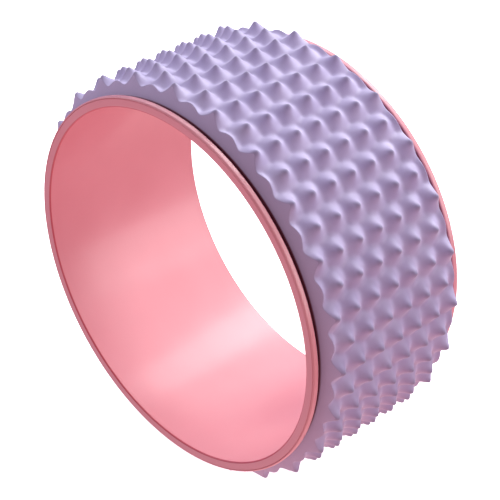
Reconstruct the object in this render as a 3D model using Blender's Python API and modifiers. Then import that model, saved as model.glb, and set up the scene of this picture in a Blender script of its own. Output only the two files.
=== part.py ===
"""Back roller wheel: a moulded ring with a raised rim at each end and a spiked foam pad glued round it.

Metres, +Z up. The wheel stands on its spikes with its axis along Y. The origin is on the floor,
under the middle of the wheel. Angles round the wheel are measured from its top towards +X.
"""

import math

import bmesh
import bpy

# Moulded ring
WIDTH = 0.150  # from one rim's face to the other's
BORE_RADIUS = 0.1423
RING_WALL = 0.0040  # under the pad
RIM_RISE = 0.0042  # the rims stand this far above the seat of the pad
RIM_THICKNESS = 0.0046
RIM_ROUND = 0.0012  # rounding of the corners beside a rim's face
CORNER_STEPS = 2

# Adhesive film
FILM_THICKNESS = 0.0005
FILM_INSET = 0.0010  # from each side of the pad

# Spiked foam pad
SIDE_GAP = 0.0032  # between the foot of a side and the rim beside it
SIDE_LEAN = 0.45  # how far a side leans inwards for each unit of height
SIDE_TRIES = 40  # of the search for the place where the spikes end at a side
LEAST_STRIP = 0.0010  # between the last whole row and a side
FOAM_BASE = 0.0064  # foam under the lowest points between spikes
SPIKE_HEIGHT = 0.0102
FOOT_SLOPE = 0.67  # how steeply a spike's lower flank falls
PEAK_RISE = 0.0040  # how far its peak stands above the line of that flank
PEAK_REACH = 0.0014  # how far down the flank the peak's steepness reaches
TIP_BLUNTING = 0.0048
SPIKES_ROUND = 24  # in one ring of spikes
SPIKE_PITCH = 0.0194  # between the spikes of one row across the pad

# Joint where the two ends of the pad meet, behind the wheel
SEAM_COLUMN = 28  # half pitches round from the top
SEAM_GAP = 0.0003

CLEARANCE = 0.0003  # between pieces that are glued face to face

# Worked out from the sizes above
PAD_WIDTH = WIDTH - 2 * (RIM_THICKNESS + SIDE_GAP)
SEAT_RADIUS = BORE_RADIUS + RING_WALL
RIM_RADIUS = SEAT_RADIUS + RIM_RISE
FILM_RADIUS = SEAT_RADIUS + CLEARANCE
PAD_RADIUS = FILM_RADIUS + FILM_THICKNESS + CLEARANCE
VALLEY_RADIUS = PAD_RADIUS + FOAM_BASE
TIP_RADIUS = VALLEY_RADIUS + SPIKE_HEIGHT
COLUMNS = 2 * SPIKES_ROUND  # neighbouring columns are staggered by half a pitch
COLUMN_ANGLE = 2 * math.pi / COLUMNS
COLUMN_PITCH = COLUMN_ANGLE * VALLEY_RADIUS
STEPS_PER_COLUMN = 2
STEPS_ROUND = STEPS_PER_COLUMN * COLUMNS
STEP_ANGLE = 2 * math.pi / STEPS_ROUND
ROWS_PER_PITCH = 4
ROW_STEP = SPIKE_PITCH / ROWS_PER_PITCH
SEAM_ANGLE = SEAM_COLUMN * COLUMN_ANGLE
AXIS_HEIGHT = TIP_RADIUS * math.cos(COLUMN_ANGLE / 2)  # two columns of tips touch the floor

SHARP_ANGLE = math.radians(35)
MERGE_DISTANCE = 0.00001


def clear_scene():
    for obj in list(bpy.data.objects):
        bpy.data.objects.remove(obj)


def new_collection(name):
    collection = bpy.data.collections.new(name)
    bpy.context.scene.collection.children.link(collection)
    return collection


def new_axis(collection):
    """An empty on the wheel's axis, whose Z lies along the world's Y and whose -Y points up."""
    axis = bpy.data.objects.new("wheel_axis", None)
    axis.location = (0, 0, AXIS_HEIGHT)
    axis.rotation_euler = (-math.pi / 2, 0, 0)
    collection.objects.link(axis)
    return axis


def new_piece(name, mesh, material, collection, axis):
    mesh.materials.append(material)
    piece = bpy.data.objects.new(name, mesh)
    collection.objects.link(piece)
    piece.parent = axis
    return piece


def shade_round(mesh):
    mesh.shade_smooth()
    mesh.set_sharp_from_angle(angle=SHARP_ANGLE)


def new_material(name, colour, roughness):
    material = bpy.data.materials.new(name)
    material.use_nodes = True
    shader = material.node_tree.nodes["Principled BSDF"]
    shader.inputs["Base Color"].default_value = (*colour, 1)
    shader.inputs["Roughness"].default_value = roughness
    shader.inputs["Metallic"].default_value = 0
    return material


def pink_plastic():
    return new_material("pink_plastic", (0.90, 0.33, 0.40), 0.28)


def lavender_foam():
    return new_material("lavender_foam", (0.49, 0.42, 0.68), 0.75)


def clear_adhesive():
    return new_material("clear_adhesive", (0.80, 0.76, 0.66), 0.50)


def corner(centre_radius, centre_y, radius, start, end):
    """Points of a rounded corner, from one angle to another, as (radius, y) pairs."""
    points = []
    for step in range(CORNER_STEPS + 1):
        angle = math.radians(start + (end - start) * step / CORNER_STEPS)
        points.append((centre_radius + radius * math.cos(angle), centre_y + radius * math.sin(angle)))
    return points


def ring_outline():
    """Section of the ring as (radius, y) pairs: down its outer side and up its bore."""
    end = WIDTH / 2
    inner_round = BORE_RADIUS + RIM_ROUND
    outer_round = RIM_RADIUS - RIM_ROUND
    upper = corner(inner_round, end - RIM_ROUND, RIM_ROUND, 180, 90)
    upper += corner(outer_round, end - RIM_ROUND, RIM_ROUND, 90, 0)
    upper += [(RIM_RADIUS, end - RIM_THICKNESS), (SEAT_RADIUS, end - RIM_THICKNESS)]
    lower = [(radius, -y) for radius, y in reversed(upper)]
    return upper + lower


def core_ring(collection, axis):
    """The section turned once round the axis."""
    outline = ring_outline()
    points = [(radius, 0, y) for radius, y in outline]
    edges = [(index, (index + 1) % len(points)) for index in range(len(points))]
    mesh = bpy.data.meshes.new("core_ring")
    mesh.from_pydata(points, edges, [])
    piece = new_piece("core_ring", mesh, pink_plastic(), collection, axis)
    turn = piece.modifiers.new("turn", "SCREW")
    turn.axis = "Z"
    turn.angle = 2 * math.pi
    turn.steps = STEPS_ROUND
    turn.render_steps = STEPS_ROUND
    turn.use_merge_vertices = True
    turn.merge_threshold = MERGE_DISTANCE
    turn.use_smooth_shade = True
    piece.modifiers.new("flat_faces_stay_flat", "WEIGHTED_NORMAL")
    return piece


def spike_rise(along, across):
    """Height of the foam above its valleys, on the flat sheet.

    A spike stands in the middle of each column's pitch, and those of every other column are half a
    pitch further across. The height falls with the distance from the nearest tip: little over the
    blunt tip, steeply down the peak, then at the slope of the foot.
    """
    nearest = COLUMN_PITCH
    column = math.floor(along / COLUMN_PITCH)
    for near in (column - 1, column, column + 1):
        shift = 0.5 if near % 2 == 0 else 0
        pitch = round(across / SPIKE_PITCH - shift) + shift
        distance = math.hypot(along - (near + 0.5) * COLUMN_PITCH, across - pitch * SPIKE_PITCH)
        nearest = min(nearest, distance)
    blunted = math.hypot(nearest, TIP_BLUNTING) - TIP_BLUNTING
    fall = PEAK_RISE * (1 - math.exp(-blunted / PEAK_REACH)) + FOOT_SLOPE * blunted
    return max(SPIKE_HEIGHT - fall, 0)


def side_place(along):
    """How far across the spikes end, where they meet the pad's leaning side.

    The side's line is followed to the height of the surface at the last place tried. The tries settle,
    because the side is steeper than any flank.
    """
    across = PAD_WIDTH / 2
    for _ in range(SIDE_TRIES):
        across = PAD_WIDTH / 2 - SIDE_LEAN * (FOAM_BASE + spike_rise(along, across))
    return across


def flat_sheet(bm, rows):
    """A sheet of one square for each step round the wheel and each row across, as (step, row, 0)."""
    bmesh.ops.create_grid(bm, x_segments=STEPS_ROUND, y_segments=2 * rows, size=0.5)
    for vert in bm.verts:
        vert.co.x = round((vert.co.x + 0.5) * STEPS_ROUND)
        vert.co.y = round(vert.co.y * 2 * rows)


def thicken(bm):
    """Gives the sheet an under side, which is the layer at z = -1, in whole strips across it."""
    copied = bmesh.ops.extrude_face_region(bm, geom=bm.faces[:], use_keep_orig=True)["geom"]
    under = {item for item in copied if isinstance(item, bmesh.types.BMVert)}
    for vert in under:
        vert.co.z = -1
    inner = [
        edge
        for edge in bm.edges
        if edge.verts[0] in under
        and edge.verts[1] in under
        and edge.verts[0].co.y == edge.verts[1].co.y
        and all(vert in under for face in edge.link_faces for vert in face.verts)
    ]
    bmesh.ops.dissolve_edges(bm, edges=inner, use_verts=True)


def split_squares(bm):
    """Cuts each upper square along the diagonal that starts at a tip or at the valley between two."""
    ends = []
    for vert in bm.verts:
        step, row = int(vert.co.x), int(vert.co.y)
        if vert.co.z == 0 and (step % 2 == 1) == (row % 2 == 0):
            ends.append(vert)
    bmesh.ops.connect_verts(bm, verts=ends)


def roll_up(bm, rows, half_width, inner_radius, rise, upper_end):
    """Wraps the sheet round the axis, from one side of the seam to the other."""
    seam_side = SEAM_GAP / 2 / inner_radius
    for vert in bm.verts:
        step, row = vert.co.x, vert.co.y
        along = step * COLUMN_PITCH / STEPS_PER_COLUMN
        upper = vert.co.z == 0
        across = row * ROW_STEP
        if abs(row) == rows:
            across = math.copysign(upper_end(along) if upper else half_width, row)
        radius = inner_radius
        if upper:
            radius += rise(along, across)
        turned = min(max(step * STEP_ANGLE, seam_side), 2 * math.pi - seam_side)
        angle = SEAM_ANGLE + turned - math.pi / 2
        vert.co = (radius * math.cos(angle), radius * math.sin(angle), across)


def rolled_mesh(name, rows, half_width, inner_radius, rise, upper_end, pointed):
    bm = bmesh.new()
    flat_sheet(bm, rows)
    thicken(bm)
    bmesh.ops.recalc_face_normals(bm, faces=bm.faces[:])
    if pointed:
        split_squares(bm)
    roll_up(bm, rows, half_width, inner_radius, rise, upper_end)
    mesh = bpy.data.meshes.new(name)
    bm.to_mesh(mesh)
    bm.free()
    shade_round(mesh)
    return mesh


def adhesive_film(collection, axis):
    """The film that holds the pad on the ring, a little narrower than the pad."""
    half_width = PAD_WIDTH / 2 - FILM_INSET

    def rise(along, across):
        return FILM_THICKNESS

    def upper_end(along):
        return half_width

    mesh = rolled_mesh("adhesive_film", 1, half_width, FILM_RADIUS, rise, upper_end, False)
    return new_piece("adhesive_film", mesh, clear_adhesive(), collection, axis)


def spike_pad(collection, axis):
    """The foam strip, cut from a sheet of spikes, rolled round the film with its ends butted."""
    narrowest = PAD_WIDTH / 2 - SIDE_LEAN * (FOAM_BASE + SPIKE_HEIGHT)
    rows = math.floor((narrowest - LEAST_STRIP) / ROW_STEP) + 1

    def rise(along, across):
        return FOAM_BASE + spike_rise(along, across)

    mesh = rolled_mesh("spike_pad", rows, PAD_WIDTH / 2, PAD_RADIUS, rise, side_place, True)
    return new_piece("spike_pad", mesh, lavender_foam(), collection, axis)


def main():
    clear_scene()
    collection = new_collection("back_roller_wheel")
    axis = new_axis(collection)
    core_ring(collection, axis)
    adhesive_film(collection, axis)
    spike_pad(collection, axis)


main()
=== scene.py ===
"""Back roller wheel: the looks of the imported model.

Metres, +Z up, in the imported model's frame. The wheel stands on its spikes on the floor at z = 0, its
axis lies along Y, and angles round the wheel are measured from its top towards +X.
"""

import math

import bpy
import numpy as np
from mathutils import Matrix, Vector


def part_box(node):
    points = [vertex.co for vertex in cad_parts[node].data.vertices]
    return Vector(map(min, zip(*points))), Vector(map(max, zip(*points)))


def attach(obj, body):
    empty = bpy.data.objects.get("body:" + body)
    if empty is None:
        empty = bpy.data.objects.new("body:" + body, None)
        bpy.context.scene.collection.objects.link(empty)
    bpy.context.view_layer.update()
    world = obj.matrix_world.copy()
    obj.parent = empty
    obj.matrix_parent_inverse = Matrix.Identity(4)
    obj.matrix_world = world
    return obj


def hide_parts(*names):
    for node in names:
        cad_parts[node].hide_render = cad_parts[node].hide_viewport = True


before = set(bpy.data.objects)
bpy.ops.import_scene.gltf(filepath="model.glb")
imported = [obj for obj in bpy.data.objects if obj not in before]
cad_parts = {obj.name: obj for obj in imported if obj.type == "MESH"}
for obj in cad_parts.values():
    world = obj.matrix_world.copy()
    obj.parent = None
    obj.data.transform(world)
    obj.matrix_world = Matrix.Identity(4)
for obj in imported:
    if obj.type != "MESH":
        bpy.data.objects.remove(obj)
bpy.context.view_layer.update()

# Sizes read from the frame
RING_LOW, RING_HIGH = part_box("core_ring")
AXIS_HEIGHT = (RING_LOW.z + RING_HIGH.z) / 2
HALF_WIDTH = RING_HIGH.y
RIM_RADIUS = (RING_HIGH.z - RING_LOW.z) / 2
PAD_HALF_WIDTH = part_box("spike_pad")[1].y  # at the foot of its sides

# Ring, as in the solids
BORE_RADIUS = 0.1423
RING_WALL = 0.0040  # under the pad
SEAT_RADIUS = BORE_RADIUS + RING_WALL
RIM_THICKNESS = 0.0046
CORNER_ROUND = 0.0012
INNER_CORNER_ROUND = 0.0009  # where the rim's edge meets the wall beside the pad
ROOT_ROUND = 0.0006  # where that wall meets the seat of the pad
GROOVE_RADIUS = 0.14905  # fine groove in the rim's face, which runs 0.15 mm into its rounded edge
GROOVE_WIDTH = 0.0008
GROOVE_DEPTH = 0.0006
GAP_SHADE_REACH = 0.0008  # down the wall beside the pad, from its edge to the full painted shade
ARC_STEPS = 8
ROUNDING_TOLERANCE = 0.00001  # how near to the end of a rounding a point counts as its end
RING_STEPS = 480

# Pad, as in the solids
FILM_THICKNESS = 0.0005
CLEARANCE = 0.0003  # between pieces that are glued face to face
FOAM_BASE = 0.0064  # foam under the lowest points between spikes
FOAM_RADIUS = SEAT_RADIUS + FILM_THICKNESS + 2 * CLEARANCE  # of its under side
VALLEY_RADIUS = FOAM_RADIUS + FOAM_BASE
SPIKE_HEIGHT = 0.0102
SPIKE_PITCH = 0.0194
COLUMNS = 48  # round the wheel, each shifted by half a pitch across from the next
SEAM_COLUMN = 28  # columns round from the top
SEAM_GAP = 0.0003

# Form of one spike
FOOT_SLOPE = 0.67  # how steeply its lower flank falls
PEAK_RISE = 0.0040  # how far its peak stands above the line of that flank
PEAK_REACH = 0.0014  # how far down the flank the peak's steepness reaches
TIP_BLUNTING = 0.0048
VALLEY_SOFTENING = 0.0011  # size of the rounding where spikes meet

# Sides of the pad, which lean inwards towards the tips
SIDE_LEAN = 0.45  # across for each unit of height
SIDE_ROUND = 0.0006  # how far from the corner its rounding starts
SIDE_ROUND_STEPS = 5
SIDE_TRIES = 40  # of the search for the corner
SIDE_TOLERANCE = 0.000001  # how near to the side's line a point of the side is
FOOT_SHADE_HEIGHT = 0.0017  # above a side's foot, where painted shade starts darkening towards the rim
FOOT_SHADE_REACH = 0.0010  # from there down to the full painted shade
TIP_SHADE_HEIGHT = 0.0072  # above the valleys, where painted shade starts darkening a spike to its tip

# Grid of the pad
STEPS_PER_COLUMN = 16
STEPS_PER_HALF_PITCH = 8
TIP_CROWDING = 0.35  # 0 spaces the grid evenly, and at 1 the spacing shrinks to nothing at the tips
EDGE_ROWS = 3  # rows of tips from the middle to the last whole ones
EDGE_STEPS = 8  # from those to the corner
SHARP_ANGLE = math.radians(50)

# Colours, in linear red, green and blue. Where there are two, the finish wanders between them.
FOAM_COLOURS = ((0.44, 0.39, 0.635), (0.50, 0.45, 0.695))
# painted shade for the tips of the spikes
FOAM_TIP_PAINTED_SHADE = (0.32, 0.29, 0.48)
FOAM_CUT_COLOUR = (0.53, 0.48, 0.73)
# painted shade for the foot of the pad's sides, standing in for the shade in the gap beside the rim
FOAM_FOOT_PAINTED_SHADE = (0.15, 0.025, 0.055)
PLASTIC_COLOURS = ((0.78, 0.324, 0.376), (0.82, 0.358, 0.415))
# painted shade for the rounded edge between the bore and the rim's face
BORE_EDGE_PAINTED_SHADE = (0.64, 0.12, 0.16)
# painted shade for the wall and seat in the gap beside the pad
GAP_PAINTED_SHADE = (0.16, 0.025, 0.055)
ADHESIVE_COLOURS = ((0.70, 0.64, 0.50), (0.82, 0.77, 0.64))
FLOOR_COLOURS = ((0.90, 0.89, 0.90), (0.92, 0.91, 0.92))

# Patterns: the scale of the noise in cells for each metre, and its detail
FOAM_MOTTLE = (45, 3)
FOAM_GRAIN = (2600, 2)
PLASTIC_MOTTLE = (14, 2)
PLASTIC_RIPPLE = (60, 2)
ADHESIVE_CLOUD = (200, 2)
FLOOR_MOTTLE = (3, 1)

# The part of the noise's range over which a finish goes from one colour to the other
NARROW_SPAN = (0.35, 0.65)
WIDE_SPAN = (0.3, 0.7)

# Bumps: strength, and height in metres
GRAIN_BUMP = (0.12, 0.0002)
RIPPLE_BUMP = (0.05, 0.0003)

# Gloss
FOAM_ROUGHNESS = 0.5
FOAM_SPECULAR = 0.4
FOAM_SHEEN = 0.25
FOAM_SHEEN_ROUGHNESS = 0.5
PLASTIC_ROUGHNESS = 0.36
PLASTIC_COAT = 0.4
PLASTIC_COAT_ROUGHNESS = 0.2
ADHESIVE_ROUGHNESS = 0.45
FLOOR_ROUGHNESS = 0.9

# Light. An azimuth is in degrees from +X towards +Y, an elevation in degrees above the floor.
LIGHT_DISTANCE = 2.2
SOFTBOXES = [  # name, azimuth, elevation, size, power in watts
    ("key", 94, 55, 0.8, 12),
    ("low_back", 97, 30, 0.8, 26),
    ("back_right", 54, 38, 1.6, 15.5),
    ("back", 110, 36, 1.6, 11),
    ("back_left", 154, 43, 1.6, 9.5),
    ("right", 34, 11, 1.2, 14),
    ("left", 205, 10, 1.2, 6),
    ("front_right", 335, 10, 1.2, 6),
    ("front_left", 240, 50, 1.6, 8.5),
]
ROOM_LIGHT = [  # direction of a side of the room, and its light
    ((1, 0, 0), (0.26, 0.02, 0.03)),
    ((-1, 0, 0), (0.30, 0.22, 0.45)),
    ((0, 1, 0), (0.05, 0.05, 0.08)),
    ((0, -1, 0), (0.34, 0.23, 0.24)),
    ((0, 0, 1), (0.02, 0.02, 0.05)),
    ((0, 0, -1), (1.80, 1.00, 1.04)),
]
BACKDROP_COLOUR = (0.98, 0.98, 0.98)
FLOOR_GLOW = 0.9
FLOOR_REACH = 12  # from its middle to each side

# Camera: where it stands, and how far the wheel's middle is from the middle of the picture
CAMERA_DISTANCE = 1.2272
CAMERA_AZIMUTH = math.radians(45.71)
CAMERA_ELEVATION = math.radians(35.34)
CAMERA_ROLL = math.radians(1.35)
CAMERA_LENS = 115.43  # millimetres, as is the sensor's width
SENSOR_WIDTH = 36
WHEEL_RIGHT_OF_MIDDLE = -0.00551
WHEEL_BELOW_MIDDLE = 0.00036


def new_mesh(name, points, faces):
    """A mesh from an array of points and a list of faces."""
    mesh = bpy.data.meshes.new(name)
    mesh.from_pydata(points.reshape(-1, 3), [], faces)
    mesh.validate()
    return mesh


def add_attribute(mesh, name, values):
    """Gives each point of a mesh a number that its material can read."""
    attribute = mesh.attributes.new(name, "FLOAT", "POINT")
    attribute.data.foreach_set("value", values.ravel().astype(np.float32))


def add_piece(name, mesh, material, node):
    """Puts a mesh into the scene in place of a CAD node."""
    mesh.materials.append(material)
    piece = bpy.data.objects.new(name, mesh)
    bpy.context.scene.collection.objects.link(piece)
    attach(piece, "root")
    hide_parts(node)
    return piece


def band_faces(stations, points, closed):
    """Quads between each station of a band and the next. Each station is a closed loop of points."""
    spans = stations if closed else stations - 1
    station, point = np.meshgrid(np.arange(spans), np.arange(points), indexing="ij")
    next_station = (station + 1) % stations
    next_point = (point + 1) % points
    corners = [
        station * points + point,
        station * points + next_point,
        next_station * points + next_point,
        next_station * points + point,
    ]
    return np.stack(corners, axis=-1).reshape(-1, 4).tolist()


def around_axis(angle, radius, across):
    """Points at an angle from the top towards +X, a radius from the axis and a place across the wheel.

    x is the radius times the sine of the angle, and z is the axis' height plus the radius times its cosine.
    """
    x = radius * np.sin(angle)
    z = AXIS_HEIGHT + radius * np.cos(angle)
    return np.stack(np.broadcast_arrays(x, across, z), axis=-1)


def arc(centre_radius, centre_y, radius, start, end):
    """Points (radius, y) of an arc: the centre plus the radius times the cosine and sine of its angle."""
    angle = np.radians(np.linspace(start, end, ARC_STEPS + 1))
    return np.stack([centre_radius + radius * np.cos(angle), centre_y + radius * np.sin(angle)], axis=-1)


def ring_outline():
    """Section of the ring as (radius, y), from the middle of the bore round over one rim and the seat.

    Straight lines joined by arcs. The other half is the same with y reversed.
    """
    end = HALF_WIDTH
    wall = end - RIM_THICKNESS
    groove_in = GROOVE_RADIUS - GROOVE_WIDTH / 2
    groove_out = GROOVE_RADIUS + GROOVE_WIDTH / 2
    half = np.concatenate(
        [
            arc(BORE_RADIUS + CORNER_ROUND, end - CORNER_ROUND, CORNER_ROUND, 180, 90),
            [(groove_in, end), (GROOVE_RADIUS, end - GROOVE_DEPTH), (groove_out, end)],
            arc(RIM_RADIUS - CORNER_ROUND, end - CORNER_ROUND, CORNER_ROUND, 90, 0),
            arc(RIM_RADIUS - INNER_CORNER_ROUND, wall + INNER_CORNER_ROUND, INNER_CORNER_ROUND, 0, -90),
            arc(SEAT_RADIUS + ROOT_ROUND, wall - ROOT_ROUND, ROOT_ROUND, 90, 180),
        ]
    )
    return np.concatenate([half, half[::-1] * (1, -1)])


def gap_shade(outline):
    """How much painted shade each point of the section gets from the gap beside the pad.

    It is the depth below the middle of the rim's rounded edge over the reach of the shade, from 0 to 1.
    Only the wall and the seat have it.
    """
    radius, y = outline[:, 0], np.abs(outline[:, 1])
    depth = RIM_RADIUS - INNER_CORNER_ROUND / 2 - radius
    beside_pad = y <= HALF_WIDTH - RIM_THICKNESS
    return np.where(beside_pad, np.clip(depth / GAP_SHADE_REACH, 0, 1), 0)


def bore_edge_painted_shade(outline):
    """Painted shade: 1 within the rounding between the bore and the rim's face, 0 from its two ends on."""
    radius, y = outline[:, 0], np.abs(outline[:, 1])
    from_bore = radius - BORE_RADIUS
    from_face = HALF_WIDTH - y
    inside = np.maximum(from_bore, from_face) < CORNER_ROUND - ROUNDING_TOLERANCE
    return np.where(inside, 1, 0)


def ring_mesh():
    """The section turned round the axis. Two attributes tell the plastic where it has painted shade."""
    outline = ring_outline()
    angle = np.linspace(0, 2 * np.pi, RING_STEPS, endpoint=False)[:, None]
    points = around_axis(angle, outline[None, :, 0], outline[None, :, 1])
    mesh = new_mesh("ring", points, band_faces(RING_STEPS, len(outline), True))
    add_attribute(mesh, "gap_shade", np.tile(gap_shade(outline), RING_STEPS))
    add_attribute(mesh, "bore_edge_painted_shade", np.tile(bore_edge_painted_shade(outline), RING_STEPS))
    mesh.shade_smooth()
    mesh.set_sharp_from_angle(angle=SHARP_ANGLE)
    return mesh


def crowded(steps):
    """Places from 0 to 1, closer together at both ends.

    Each is an even place less the crowding times the sine of that part of a full turn, over a full turn.
    """
    t = np.arange(steps) / steps
    return t - TIP_CROWDING * np.sin(2 * np.pi * t) / (2 * np.pi)


def along_grid():
    """Places along the strip, in column pitches: closest together at each column of tips."""
    middle = crowded(STEPS_PER_COLUMN)
    tips = np.arange(-1, COLUMNS) + 0.5
    places = (tips[:, None] + middle[None, :]).ravel()
    places = places[(places > 0) & (places < COLUMNS)]
    return np.concatenate([[0], places, [COLUMNS]])


def across_grid():
    """Places across the strip, in metres, between the last whole spikes: closest together at the tips."""
    half_pitch = SPIKE_PITCH / 2
    rows = 2 * EDGE_ROWS
    places = (np.arange(-rows, rows)[:, None] + crowded(STEPS_PER_HALF_PITCH)[None, :]).ravel()
    return np.append(places, rows) * half_pitch


def spike_rise(column_place, across):
    """Height of the foam above its valleys.

    A spike is its full height, less the peak's rise times one minus the exponential of minus the blunted
    distance over the peak's reach, less the foot's slope times the blunted distance. That distance is the
    square root of the sum of the squares of the distance from the spike's axis and of the blunting, less
    the blunting. Where spikes meet, the height is the softening times the logarithm of one plus, for each
    spike near by, one less than the exponential of its height over the softening. That is nearly the
    height of the highest one, with the crease softened.
    """
    pitch_along = 2 * math.pi / COLUMNS * VALLEY_RADIUS
    column = np.floor(column_place)
    total = np.ones(np.broadcast(column_place, across).shape)
    for step in (-1, 0, 1):
        near = column + step
        shift = np.where(near % 2 == 0, 0.5, 0.0)
        row = np.floor(across / SPIKE_PITCH - shift)
        for side in (0, 1):
            offset_along = (column_place - near - 0.5) * pitch_along
            offset_across = across - (row + side + shift) * SPIKE_PITCH
            distance = np.hypot(offset_along, offset_across)
            blunted = np.sqrt(distance**2 + TIP_BLUNTING**2) - TIP_BLUNTING
            fall = PEAK_RISE * (1 - np.exp(-blunted / PEAK_REACH)) + FOOT_SLOPE * blunted
            spike = np.maximum(SPIKE_HEIGHT - fall, 0)
            total = total + np.exp(spike / VALLEY_SOFTENING) - 1
    return VALLEY_SOFTENING * np.log(total)


def side_corner(column_place):
    """Where the spikes meet the leaning side: the place across whose surface stands on the side's line.

    The line is the half width of the pad's foot less the lean times the height above the foam's under
    side. The place is found by trying the line at the last place's height again and again, which settles
    because the side is steeper than any flank.
    """
    across = np.full_like(column_place, PAD_HALF_WIDTH)
    for _ in range(SIDE_TRIES):
        height = VALLEY_RADIUS - FOAM_RADIUS + spike_rise(column_place, across)
        across = PAD_HALF_WIDTH - SIDE_LEAN * height
    return across


def pad_side(column_place, side):
    """Radius and place across of the points from the outermost tips down to the foam's under side.

    Evenly spaced steps lead to the corner. The corner is rounded by a curve from the place before it to a
    place down the side: the first times the square of the way left, plus the corner times twice the way
    done times the way left, plus the last times the square of the way done.
    """
    corner = side_corner(column_place)
    start = EDGE_ROWS * SPIKE_PITCH
    before = corner - SIDE_ROUND
    steps = np.arange(1, EDGE_STEPS) / EDGE_STEPS
    across = start + (before - start) * steps
    radius = VALLEY_RADIUS + spike_rise(column_place, side * across)
    t = np.linspace(0, 1, SIDE_ROUND_STEPS + 1)
    down = corner + SIDE_ROUND * SIDE_LEAN
    before_radius = VALLEY_RADIUS + spike_rise(column_place, side * before)
    corner_radius = VALLEY_RADIUS + spike_rise(column_place, side * corner)
    down_radius = corner_radius - SIDE_ROUND
    shares = ((1 - t) ** 2, 2 * t * (1 - t), t**2)
    bend = before * shares[0] + corner * shares[1] + down * shares[2]
    bend_radius = before_radius * shares[0] + corner_radius * shares[1] + down_radius * shares[2]
    height = np.array([[FOOT_SHADE_HEIGHT, 0]]) * np.ones_like(corner)
    radius = np.concatenate([radius, bend_radius, FOAM_RADIUS + height], axis=1)
    foot = PAD_HALF_WIDTH - SIDE_LEAN * height
    return radius, side * np.concatenate([across, bend, foot], axis=1)


def pad_mesh():
    """The spiked strip wrapped round the axis.

    Each station round the wheel is a closed loop: across the spikes, down one side, back under the
    foam and up the other side. The two ends meet at the seam and are closed flat. Three attributes tell
    the foam where its sides are cut, and where painted shade darkens it: depth below, or height above, a
    level over the reach of the shade.
    """
    place = along_grid()[:, None]
    across = across_grid()[None, :]
    front_radius, front_across = pad_side(place, -1)
    back_radius, back_across = pad_side(place, 1)
    radius = np.concatenate(
        [VALLEY_RADIUS + spike_rise(place, across), back_radius, front_radius[:, ::-1]], axis=1
    )
    across = np.concatenate(
        [np.repeat(across, len(place), axis=0), back_across, front_across[:, ::-1]], axis=1
    )
    first = SEAM_COLUMN * 2 * np.pi / COLUMNS
    seam_side = SEAM_GAP / 2 / FOAM_RADIUS
    turned = np.clip(place * 2 * np.pi / COLUMNS, seam_side, 2 * np.pi - seam_side)
    points = around_axis(first + turned, radius, across)
    stations, loop = points.shape[:2]
    faces = band_faces(stations, loop, False)
    faces.append(list(range(loop))[::-1])
    faces.append(list(range((stations - 1) * loop, stations * loop)))
    mesh = new_mesh("pad", points, faces)
    mesh.flip_normals()  # turns the faces outwards, as the loops run the other way than the ring's
    side_across = PAD_HALF_WIDTH - SIDE_LEAN * (radius - FOAM_RADIUS)
    add_attribute(mesh, "cut_side", np.abs(across) > side_across - SIDE_TOLERANCE)
    # Painted shade: the foam darkens towards the foot of each side, in the gap beside the rim
    foot_shade = np.maximum(FOAM_RADIUS + FOOT_SHADE_HEIGHT - radius, 0) / FOOT_SHADE_REACH
    # Painted shade: each spike darkens towards its tip
    above_shade = np.maximum(radius - VALLEY_RADIUS - TIP_SHADE_HEIGHT, 0)
    tip_shade = above_shade / (SPIKE_HEIGHT - TIP_SHADE_HEIGHT)
    add_attribute(mesh, "foot_shade", foot_shade)
    add_attribute(mesh, "tip_shade", tip_shade)
    mesh.shade_smooth()
    mesh.set_sharp_from_angle(angle=SHARP_ANGLE)
    return mesh


def new_material(name, roughness):
    """A material with its nodes, links and shader."""
    material = bpy.data.materials.new(name)
    material.use_nodes = True
    nodes, links = material.node_tree.nodes, material.node_tree.links
    shader = nodes["Principled BSDF"]
    shader.inputs["Roughness"].default_value = roughness
    return material, nodes, links, shader


def add_noise(nodes, links, pattern):
    """Noise on Object coordinates."""
    place = nodes.new("ShaderNodeTexCoord")
    noise = nodes.new("ShaderNodeTexNoise")
    noise.inputs["Scale"].default_value, noise.inputs["Detail"].default_value = pattern
    links.new(place.outputs["Object"], noise.inputs["Vector"])
    return noise.outputs["Fac"]


def add_mottle(nodes, links, pattern, colours, span):
    """A colour that goes from the first to the second as the noise goes over the span."""
    ramp = nodes.new("ShaderNodeValToRGB")
    for element, position, colour in zip(ramp.color_ramp.elements, span, colours):
        element.position = position
        element.color = (*colour, 1)
    links.new(add_noise(nodes, links, pattern), ramp.inputs["Fac"])
    return ramp.outputs["Color"]


def add_bump(nodes, links, shader, pattern, strength_and_height):
    """Fine relief from noise."""
    bump = nodes.new("ShaderNodeBump")
    bump.inputs["Strength"].default_value, bump.inputs["Distance"].default_value = strength_and_height
    links.new(add_noise(nodes, links, pattern), bump.inputs["Height"])
    links.new(bump.outputs["Normal"], shader.inputs["Normal"])


def add_shade(nodes, links, colour, attribute_name, shade):
    """Mixes a colour with a shade, more of it where the mesh's attribute is nearer 1."""
    attribute = nodes.new("ShaderNodeAttribute")
    attribute.attribute_name = attribute_name
    mix = nodes.new("ShaderNodeMix")
    mix.data_type = "RGBA"
    links.new(attribute.outputs["Fac"], mix.inputs["Factor"])
    links.new(colour, mix.inputs["A"])
    mix.inputs["B"].default_value = (*shade, 1)
    return mix.outputs["Result"]


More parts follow.
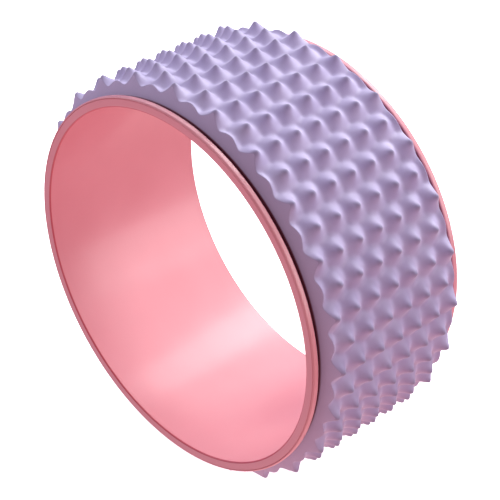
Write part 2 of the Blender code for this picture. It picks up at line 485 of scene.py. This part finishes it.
def foam_material():
    """Soft lavender foam: matt, a little mottled, with a fine grain of closed cells.

    Painted shade darkens its tips and the foot of its sides, and it is a little paler where it is cut.
    """
    material, nodes, links, shader = new_material("foam", FOAM_ROUGHNESS)
    mottle = add_mottle(nodes, links, FOAM_MOTTLE, FOAM_COLOURS, NARROW_SPAN)
    # Painted shade at the tips of the spikes
    tips = add_shade(nodes, links, mottle, "tip_shade", FOAM_TIP_PAINTED_SHADE)
    cut = add_shade(nodes, links, tips, "cut_side", FOAM_CUT_COLOUR)
    # Painted shade at the foot of the sides
    shaded = add_shade(nodes, links, cut, "foot_shade", FOAM_FOOT_PAINTED_SHADE)
    links.new(shaded, shader.inputs["Base Color"])
    add_bump(nodes, links, shader, FOAM_GRAIN, GRAIN_BUMP)
    shader.inputs["Specular IOR Level"].default_value = FOAM_SPECULAR
    shader.inputs["Sheen Weight"].default_value = FOAM_SHEEN
    shader.inputs["Sheen Roughness"].default_value = FOAM_SHEEN_ROUGHNESS
    return material


def plastic_material():
    """Glossy pink plastic, faintly uneven from the mould; painted shade darkens the gap beside the pad."""
    material, nodes, links, shader = new_material("pink_plastic", PLASTIC_ROUGHNESS)
    mottle = add_mottle(nodes, links, PLASTIC_MOTTLE, PLASTIC_COLOURS, WIDE_SPAN)
    # Painted shade along the bore's rounded edge
    edge_shaded = add_shade(nodes, links, mottle, "bore_edge_painted_shade", BORE_EDGE_PAINTED_SHADE)
    # Painted shade in the gap beside the pad
    shaded = add_shade(nodes, links, edge_shaded, "gap_shade", GAP_PAINTED_SHADE)
    links.new(shaded, shader.inputs["Base Color"])
    add_bump(nodes, links, shader, PLASTIC_RIPPLE, RIPPLE_BUMP)
    shader.inputs["Coat Weight"].default_value = PLASTIC_COAT
    shader.inputs["Coat Roughness"].default_value = PLASTIC_COAT_ROUGHNESS
    return material


def adhesive_material():
    """Clear yellowish adhesive, a little cloudy."""
    material, nodes, links, shader = new_material("adhesive", ADHESIVE_ROUGHNESS)
    cloud = add_mottle(nodes, links, ADHESIVE_CLOUD, ADHESIVE_COLOURS, WIDE_SPAN)
    links.new(cloud, shader.inputs["Base Color"])
    return material


def floor_material():
    """Plain white floor that glows, as a light table does."""
    material, nodes, links, shader = new_material("floor", FLOOR_ROUGHNESS)
    mottle = add_mottle(nodes, links, FLOOR_MOTTLE, FLOOR_COLOURS, WIDE_SPAN)
    links.new(mottle, shader.inputs["Base Color"])
    shader.inputs["Specular IOR Level"].default_value = 0
    shader.inputs["Emission Color"].default_value = (1, 1, 1, 1)
    shader.inputs["Emission Strength"].default_value = FLOOR_GLOW
    return material


def add_floor():
    """A wide square floor. It sends no light to the wheel, which the room lights from below instead."""
    corners = ((-1, -1, 0), (1, -1, 0), (1, 1, 0), (-1, 1, 0))
    mesh = new_mesh("floor", FLOOR_REACH * np.array(corners, dtype=float), [(0, 1, 2, 3)])
    mesh.materials.append(floor_material())
    floor = bpy.data.objects.new("floor", mesh)
    bpy.context.scene.collection.objects.link(floor)
    floor.visible_diffuse = False
    floor.visible_glossy = False
    floor.visible_shadow = False


def add_softbox(name, azimuth, elevation, size, power):
    """A square lamp that looks at the wheel's middle from the lamps' distance."""
    light = bpy.data.lights.new(name, "AREA")
    light.shape = "SQUARE"
    light.size = size
    light.energy = power
    lamp = bpy.data.objects.new(name, light)
    bpy.context.scene.collection.objects.link(lamp)
    turn = Matrix.Rotation(math.radians(azimuth), 3, "Z")
    tilt = Matrix.Rotation(math.radians(-elevation), 3, "Y")
    away = turn @ tilt @ Vector((LIGHT_DISTANCE, 0, 0))
    lamp.location = Vector((0, 0, AXIS_HEIGHT)) + away
    lamp.rotation_mode = "QUATERNION"
    lamp.rotation_quaternion = away.to_track_quat("Z", "Y")


def add_room():
    """Soft light from the sides of the room, blended by the square of the direction's share along each.

    The camera itself sees a plain pale backdrop.
    """
    world = bpy.data.worlds.new("studio")
    bpy.context.scene.world = world
    world.use_nodes = True
    nodes, links = world.node_tree.nodes, world.node_tree.links
    place = nodes.new("ShaderNodeTexCoord")
    total = None
    for direction, colour in ROOM_LIGHT:
        share = nodes.new("ShaderNodeVectorMath")
        share.operation = "DOT_PRODUCT"
        share.inputs[1].default_value = direction
        links.new(place.outputs["Generated"], share.inputs[0])
        facing = nodes.new("ShaderNodeMath")
        facing.operation = "MAXIMUM"
        links.new(share.outputs["Value"], facing.inputs[0])
        facing.inputs[1].default_value = 0
        square = nodes.new("ShaderNodeMath")
        square.operation = "POWER"
        square.inputs[1].default_value = 2
        links.new(facing.outputs["Value"], square.inputs[0])
        tinted = nodes.new("ShaderNodeVectorMath")
        tinted.operation = "SCALE"
        tinted.inputs[0].default_value = colour
        links.new(square.outputs["Value"], tinted.inputs["Scale"])
        if total is None:
            total = tinted
        else:
            added = nodes.new("ShaderNodeVectorMath")
            links.new(total.outputs["Vector"], added.inputs[0])
            links.new(tinted.outputs["Vector"], added.inputs[1])
            total = added
    links.new(total.outputs["Vector"], nodes["Background"].inputs["Color"])
    backdrop = nodes.new("ShaderNodeBackground")
    backdrop.inputs["Color"].default_value = (*BACKDROP_COLOUR, 1)
    ray = nodes.new("ShaderNodeLightPath")
    choose = nodes.new("ShaderNodeMixShader")
    links.new(ray.outputs["Is Camera Ray"], choose.inputs["Fac"])
    links.new(nodes["Background"].outputs["Background"], choose.inputs[1])
    links.new(backdrop.outputs["Background"], choose.inputs[2])
    links.new(choose.outputs["Shader"], nodes["World Output"].inputs["Surface"])


def add_lights():
    """The room's soft light and the lamps."""
    add_room()
    for name, azimuth, elevation, size, power in SOFTBOXES:
        add_softbox(name, azimuth, elevation, size, power)


def add_camera():
    """Stands at the photograph's viewing angle, with the wheel's middle a little off the picture's."""
    turn = Matrix.Rotation(CAMERA_AZIMUTH, 4, "Z")
    tilt = Matrix.Rotation(math.pi / 2 - CAMERA_ELEVATION, 4, "X")
    roll = Matrix.Rotation(CAMERA_ROLL, 4, "Z")
    facing = turn @ tilt @ roll
    data = bpy.data.cameras.new("camera")
    data.lens = CAMERA_LENS
    data.sensor_width = SENSOR_WIDTH
    camera = bpy.data.objects.new("camera", data)
    bpy.context.scene.collection.objects.link(camera)
    wheel_in_view = Vector((WHEEL_RIGHT_OF_MIDDLE, -WHEEL_BELOW_MIDDLE, -CAMERA_DISTANCE))
    place = Vector((0, 0, AXIS_HEIGHT)) - facing.to_3x3() @ wheel_in_view
    camera.matrix_world = Matrix.Translation(place) @ facing
    bpy.context.scene.camera = camera


def main():
    """Puts the stage and the three pieces into the scene."""
    add_camera()
    add_lights()
    add_floor()
    add_piece("ring", ring_mesh(), plastic_material(), "core_ring")
    pad = add_piece("pad", pad_mesh(), foam_material(), "spike_pad")
    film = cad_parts["adhesive_film"]
    film.data.materials.clear()
    film.data.materials.append(adhesive_material())
    bpy.context.scene.view_settings.view_transform = "Standard"


main()
